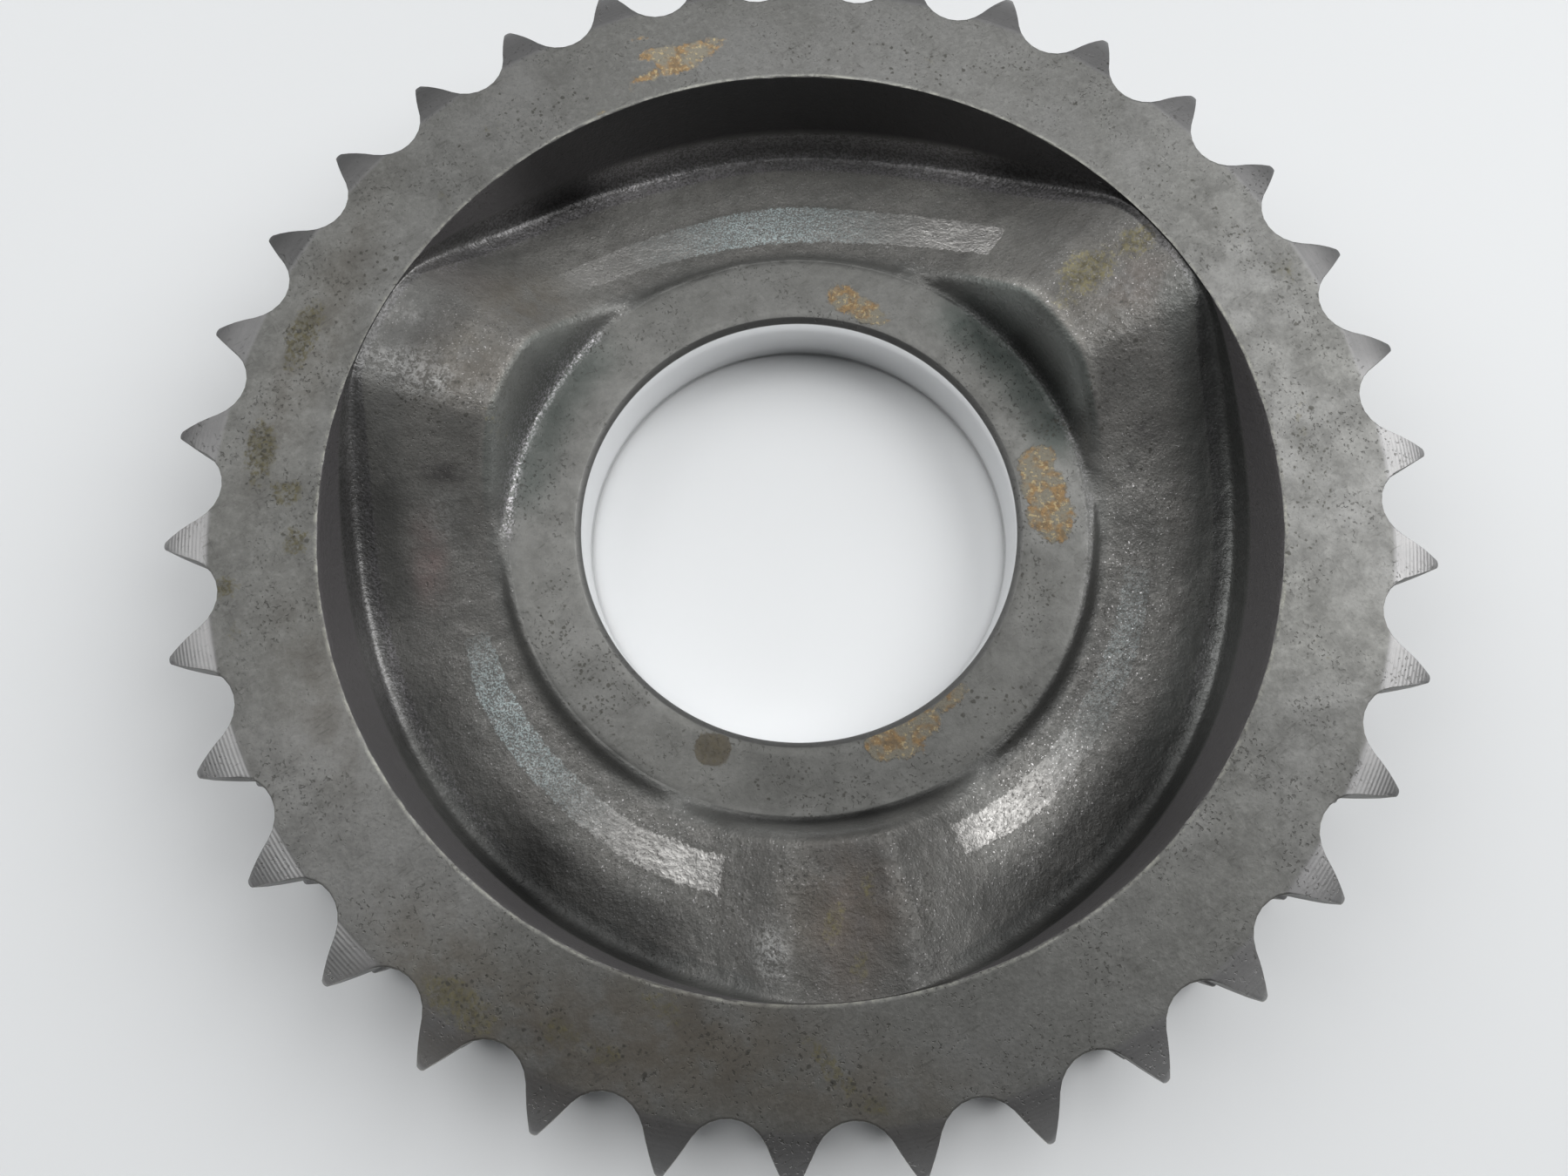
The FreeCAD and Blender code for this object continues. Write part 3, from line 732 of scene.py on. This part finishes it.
# forged faces: darker, mottled and warmer
cam_c = mixc(ramp(n_clump, 0.34, 0.66), (0.150, 0.149, 0.140), (0.184, 0.180, 0.169))
cam_c = mixc(mul(at("crest"), 0.35), cam_c, (0.150, 0.146, 0.138))
cam_c = mixc(ramp(n_fine, 0.46, 0.70, 0.0, 0.35), cam_c, (0.270, 0.264, 0.252))
cam_c = mixc(ramp(n_grain, 0.52, 0.68, 0.0, 0.50), cam_c, (0.088, 0.088, 0.082))
cam_c = mixc(ramp(noise(1.2, 3, 0.6), 0.50, 0.66, 0.0, 0.30), cam_c, (0.100, 0.098, 0.090))
glint = mul(m_cam, ramp(noise(0.19, 1, 0.5), 0.66, 0.72))
cam_c = mixc(mul(glint, 0.8), cam_c, (0.46, 0.45, 0.45))
# painted highlight: the foot fillets made paler and grainy
cam_c = mixc(mul(at("m_foot_glint"), 0.45), cam_c, mixc(ramp(n_grain, 0.40, 0.62), (0.120, 0.116, 0.122), (0.430, 0.420, 0.440)))
base = mixc(m_cam, base, cam_c)
base = mixc(m_wall, base, mixc(n_clump, (0.132, 0.126, 0.130), (0.158, 0.151, 0.154)))
base = mixc(m_bore, base, (0.84, 0.845, 0.85))
base = mixc(mul(m_side, 0.75), base, mixc(n_turn, (0.205, 0.205, 0.208), (0.262, 0.258, 0.260)))
base = mixc(mul(at("m_cham"), 0.85), base, (0.17, 0.17, 0.165))
base = mixc(mul(at("m_edge"), ramp(noise(1.1, 5, 0.75), 0.40, 0.64, 0.0, 0.80)), base, (0.36, 0.36, 0.32))
# wiped bands on the cam, with their speckle
worn = ramp(math_("ADD", at("strip_sd"), math_("MULTIPLY", math_("SUBTRACT", n_fine, 0.5), 0.9)), -0.05, 0.12)
n_comb = noise(0.34, 3, 0.6, polar.outputs[0])
strip = mul(worn, at("strip_k"), ramp(n_fine, 0.25, 0.60, 0.68, 1.0), ramp(n_comb, 0.34, 0.60, 0.50, 1.0))
base = mixc(strip, base, (0.56, 0.548, 0.53))
speck = mul(worn, at("speck"), ramp(math_("ADD", noise(0.17, 2, 0.5), math_("MULTIPLY", n_fine, 0.30)), 0.64, 0.70))
base = mixc(mul(worn, at("speck"), 0.20), base, (0.28, 0.33, 0.34))
base = mixc(mul(speck, 0.90), base, (0.54, 0.64, 0.65))
# stains, and painted shade: the greenish darkening by the lobes and the shade in the recesses
# painted shade: greenish darkening on the hub by the lobes and on the cam by the right wall
base = mixc(mul(at("green_tint_and_shade"), ramp(n_mid, 0.30, 0.60, 0.68, 0.95)), base, mixc(n_clump, (0.078, 0.096, 0.088), (0.104, 0.122, 0.113)))
# pale patches, partly painted highlight on the lobe tops
pale_and_highlight = mul(at("pale_and_highlight"), ramp(math_("ADD", n_grain, math_("MULTIPLY", n_fine, 0.8)), 0.78, 1.02))
base = mixc(pale_and_highlight, base, (0.46, 0.46, 0.45))
base = mixc(mul(at("red"), ramp(n_mid, 0.30, 0.62, 0.25, 0.75)), base, (0.250, 0.185, 0.175))
dark = mul(at("dark"), ramp(n_mid, 0.30, 0.58, 0.40, 1.0), ramp(n_fine, 0.34, 0.56, 0.45, 1.0))
base = mixc(dark, base, (0.078, 0.075, 0.073))
base = mixc(mul(at("brown"), ramp(n_mid, 0.30, 0.60, 0.20, 0.75)), base, mixc(n_clump, (0.116, 0.093, 0.068), (0.152, 0.130, 0.098)))
tilt = node("ShaderNodeMapping")
tilt.inputs["Rotation"].default_value = (0.61, 0.43, 0.77)
L.new(math_v("ADD", co, noise_v(0.30, 0.00034)), tilt.inputs["Vector"])
dot_co = tilt.outputs[0]
olive = mul(ramp(math_("ADD", math_("MULTIPLY", at("olive"), 1.15), math_("ADD", math_("MULTIPLY", math_("SUBTRACT", n_fine, 0.5), 1.3), math_("MULTIPLY", math_("SUBTRACT", n_clump, 0.5), 0.7))), 0.46, 0.78), ramp(at("olive"), 0.0, 0.5), ramp(noise(0.36, 3, 0.6, dot_co), 0.42, 0.58, 0.12, 1.0))
tint = ramp(math_("ADD", at("olive"), math_("ADD", math_("MULTIPLY", math_("SUBTRACT", n_mid, 0.5), 1.7), math_("MULTIPLY", math_("SUBTRACT", n_fine, 0.5), 1.1))), 0.45, 0.95)
base = mixc(mul(tint, mixf(m_cam, 0.46, 0.32)), base, mixc(m_cam, (0.124, 0.117, 0.080), (0.170, 0.158, 0.104)))
base = mixc(mul(olive, 0.68), base, mixc(m_cam, mixc(ramp(n_fine, 0.36, 0.62), (0.080, 0.070, 0.040), (0.165, 0.147, 0.078)), mixc(ramp(n_fine, 0.36, 0.60), (0.120, 0.102, 0.048), (0.290, 0.258, 0.130))))
# painted shade in the recesses by the walls and the lobe feet
base = mixc(mul(at("recess_shade"), ramp(n_mid, 0.25, 0.65, 0.5, 1.0)), base, (0.115, 0.117, 0.112))
# short, fine handling marks on the machined faces, in two directions
def marks(turn, lo, hi):
    m1 = node("ShaderNodeMapping")
    m1.inputs["Rotation"].default_value = (0.0, 0.0, math.radians(turn))
    L.new(co, m1.inputs["Vector"])
    m2 = node("ShaderNodeMapping")
    m2.inputs["Scale"].default_value = (0.20, 1.0, 1.0)
    L.new(m1.outputs[0], m2.inputs["Vector"])
    return ramp(noise(0.26, 2, 0.5, m2.outputs[0]), lo, hi)


plain_face = math_("SUBTRACT", 1.0, math_("ADD", forged_f, m_bore, clamp=True), clamp=True)
fine_marks = mul(math_("ADD", marks(-38, 0.62, 0.70), marks(52, 0.64, 0.72), clamp=True), plain_face, ramp(n_mid, 0.40, 0.62, 0.15, 1.0))
base = mixc(mul(fine_marks, 0.42), base, (0.092, 0.091, 0.084))
# dark specks lying in drifts
def dots(size_mm, share, inner, outer):
    """Separate dots of uneven size; share is how many of the cells have one."""
    n = node("ShaderNodeTexVoronoi", feature="F1")
    L.new(dot_co, n.inputs["Vector"])
    n.inputs["Scale"].default_value = 1000.0 / size_mm
    n.inputs["Randomness"].default_value = 1.0
    part = node("ShaderNodeSeparateColor")
    L.new(n.outputs["Color"], part.inputs[0])
    size_f = math_("ADD", n.outputs["Distance"], math_("MULTIPLY", part.outputs[1], 0.16))
    on = math_("LESS_THAN", part.outputs[0], share)
    return mul(ramp(size_f, inner, outer, 1.0, 0.0), on)


sp = math_("ADD", dots(0.46, at("specks"), 0.26, 0.42), dots(0.80, math_("MULTIPLY", at("specks"), 0.45), 0.22, 0.36), clamp=True)
base = mixc(mul(sp, 0.78), base, (0.070, 0.068, 0.060))
# pits and short dark marks over the machined faces, in drifts
pits = mul(ramp(noise(0.30, 2, 0.5, dot_co), 0.61, 0.68), ramp(n_clump, 0.42, 0.60, 0.10, 1.0), math_("SUBTRACT", 1.0, m_bore))
base = mixc(mul(pits, 0.58), base, (0.085, 0.083, 0.075))
# rust: a torn edge, two colours, quite dull
torn = math_("ADD", math_("MULTIPLY", math_("SUBTRACT", n_mid, 0.5), 0.55), math_("MULTIPLY", math_("SUBTRACT", n_fine, 0.5), 0.65))
rust_f = ramp(math_("ADD", at("rust"), torn), 0.36, 0.54)
rust_c = mixc(ramp(n_fine, 0.36, 0.60), (0.205, 0.145, 0.080), (0.345, 0.220, 0.098))
rust_c = mixc(ramp(noise(1.5, 2), 0.40, 0.56), rust_c, (0.245, 0.225, 0.175))
rust_c = mixc(mul(ramp(n_grain, 0.56, 0.66), 0.45), rust_c, (0.140, 0.104, 0.066))
rust_c = mixc(mul(ramp(noise(0.33, 2), 0.58, 0.66), 0.8), rust_c, (0.50, 0.40, 0.22))
base = mixc(mul(rust_f, 0.90), base, rust_c)
spot = ramp(math_("ADD", at("spot"), math_("MULTIPLY", torn, 0.8)), 0.42, 0.56)
base = mixc(mul(spot, 0.85), base, mixc(n_fine, (0.040, 0.034, 0.024), (0.120, 0.104, 0.074)))
# painted highlight: pale specks along the fillets
fillet_glint_f = mul(at("painted_fillet_glint"), ramp(noise(0.23, 2, 0.5, dot_co), 0.48, 0.60))
base = mixc(mul(fillet_glint_f, 0.55), base, (0.52, 0.50, 0.53))
# painted light and painted shade: the base colour scaled by the brightness fields of the rim, cam, tooth sides and tips
painted_light_scale = node("ShaderNodeVectorMath", operation="SCALE")
L.new(base, painted_light_scale.inputs[0])
painted_light_sum = math_("ADD", at("painted_light_tone"), mul(at("side_painted_light"), ramp(radius, 0.04905, 0.04950)))
L.new(math_("ADD", painted_light_sum, mul(at("tip_painted_light"), ramp(radius, 0.0493, 0.0534, 0.0, 1.45))), painted_light_scale.inputs[3])
base = painted_light_scale.outputs[0]
L.new(base, bsdf.inputs["Base Color"])

metal = mixf(forged_f, 0.92, 0.36)
metal = mixf(mul(glint, 0.8), metal, 0.95)
metal = mixf(mul(at("m_foot_glint"), 0.55), metal, 0.92)
metal = mixf(mul(fillet_glint_f, 0.6), metal, 0.95)
metal = mixf(strip, metal, 0.95)
metal = mixf(rust_f, metal, 0.15)
metal = mixf(mul(olive, 0.6), metal, 0.55)
metal = mixf(spot, metal, 0.25)
L.new(metal, bsdf.inputs["Metallic"])

rough = mixf(ramp(n_mid, 0.3, 0.7), 0.46, 0.56)
rough = mixf(m_cam, rough, mixf(ramp(n_fine, 0.35, 0.65), 0.52, 0.38))
rough = mixf(m_wall, rough, 0.46)
rough = mixf(m_bore, rough, 0.20)
rough = mixf(mul(m_side, 0.8), rough, 0.45)
rough = mixf(mul(glint, 0.8), rough, 0.24)
rough = mixf(mul(at("m_foot_glint"), 0.6), rough, 0.34)
rough = mixf(mul(fillet_glint_f, 0.9), rough, 0.36)
rough = mixf(strip, rough, 0.34)
rough = mixf(rust_f, rough, 0.85)
rough = mixf(spot, rough, 0.62)
rough = mixf(mul(olive, 0.8), rough, 0.72)
L.new(rough, bsdf.inputs["Roughness"])

# relief: forged grain, pits, and turned lines on the tooth sides
grain_h = mul(mixf(forged_f, 0.22, 1.0), math_("ADD", n_fine, math_("MULTIPLY", n_grain, 0.55)))
grain_h = mul(grain_h, mixf(m_bore, 1.0, 0.05), mixf(m_side, 1.0, 0.5))
grain_h = math_("SUBTRACT", grain_h, mul(pits, 0.35))
turned = math_("SINE", math_("MULTIPLY", radius, 2 * math.pi / 0.00034))
grain_h = math_("ADD", grain_h, mul(m_side, math_("MULTIPLY", turned, 0.11), at("lines"), ramp(n_mid, 0.30, 0.55, 0.35, 1.0)))
grain_h = math_("ADD", grain_h, mul(rust_f, n_grain, 0.8))
grain_h = math_("ADD", grain_h, mul(strip, n_comb, 0.45))
bump = node("ShaderNodeBump")
bump.inputs["Strength"].default_value = 0.75
bump.inputs["Distance"].default_value = 0.00010
L.new(grain_h, bump.inputs["Height"])
L.new(bump.outputs[0], bsdf.inputs["Normal"])
me.materials.append(mat)

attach(sprocket, "root")
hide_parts("sprocket_forging")

# -------------------------------------------------------------- floor, light
fm = bpy.data.meshes.new("floor")
fm.from_pydata([(-2, -2, 0), (2, -2, 0), (2, 2, 0), (-2, 2, 0)], [], [(0, 1, 2, 3)])
floor = bpy.data.objects.new("floor", fm)
bpy.context.scene.collection.objects.link(floor)
floor.location.z = -0.00002
fmat = bpy.data.materials.new("pale_floor")
fmat.use_nodes = True
fb = fmat.node_tree.nodes["Principled BSDF"]
fb.inputs["Base Color"].default_value = (0.825, 0.84, 0.85, 1)
fb.inputs["Roughness"].default_value = 0.55
fm.materials.append(fmat)

scene = bpy.context.scene
scene.view_settings.view_transform = "Standard"
scene.view_settings.look = "None"
world = bpy.data.worlds.new("studio")
world.use_nodes = True
wn = world.node_tree.nodes
wn["Background"].inputs["Color"].default_value = (0.96, 0.98, 1.0, 1)
wt = world.node_tree
w_co = wt.nodes.new("ShaderNodeTexCoord")
w_sep = wt.nodes.new("ShaderNodeSeparateXYZ")
wt.links.new(w_co.outputs["Generated"], w_sep.inputs[0])
w_map = wt.nodes.new("ShaderNodeMapRange")
w_map.interpolation_type = "SMOOTHSTEP"
for i_, v_ in ((1, -0.45), (2, 0.75), (3, 0.085), (4, 0.26)):
    w_map.inputs[i_].default_value = v_
wt.links.new(w_sep.outputs[1], w_map.inputs[0])
wt.links.new(w_map.outputs[0], wn["Background"].inputs["Strength"])
scene.world = world


def area(name, az, el, dist, size, power, colour=(1, 1, 1)):
    """Soft light at azimuth az (degrees from +X) and elevation el, aimed at the part."""
    li = bpy.data.lights.new(name, "AREA")
    li.shape = "DISK"
    li.size = size
    li.energy = power
    li.color = colour
    ob = bpy.data.objects.new(name, li)
    a_, e_ = math.radians(az), math.radians(el)
    pos = Vector((dist * math.cos(e_) * math.cos(a_), dist * math.cos(e_) * math.sin(a_), dist * math.sin(e_)))
    ob.location = pos
    ob.rotation_euler = (-pos).to_track_quat("-Z", "Y").to_euler()
    scene.collection.objects.link(ob)
    return ob


area("light_right", 28, 45, 1.2, 1.10, 10.2)
area("light_left", 158, 43, 1.2, 1.10, 5.6)
area("light_top", 100, 76, 1.2, 0.60, 2.2)

# -------------------------------------------------------------------- camera
cam = bpy.data.cameras.new("camera")
cam.sensor_width = 36.0
cam.lens = 25.853
cam.clip_start = 0.005
cam_ob = bpy.data.objects.new("camera", cam)
scene.collection.objects.link(cam_ob)
rv = np.array([-3.37078436, -0.181325045, 0.0245774264])
ang = float(np.linalg.norm(rv))
k = rv / ang
K = np.array([[0, -k[2], k[1]], [k[2], 0, -k[0]], [-k[1], k[0], 0]])
RM = np.eye(3) + math.sin(ang) * K + (1 - math.cos(ang)) * K @ K
RB = RM.T @ np.diag([1.0, -1.0, -1.0])
m4 = Matrix([[*RB[0], 0.001993], [*RB[1], -0.029371], [*RB[2], 0.10496], [0, 0, 0, 1]])
cam_ob.matrix_world = m4
scene.camera = cam_ob
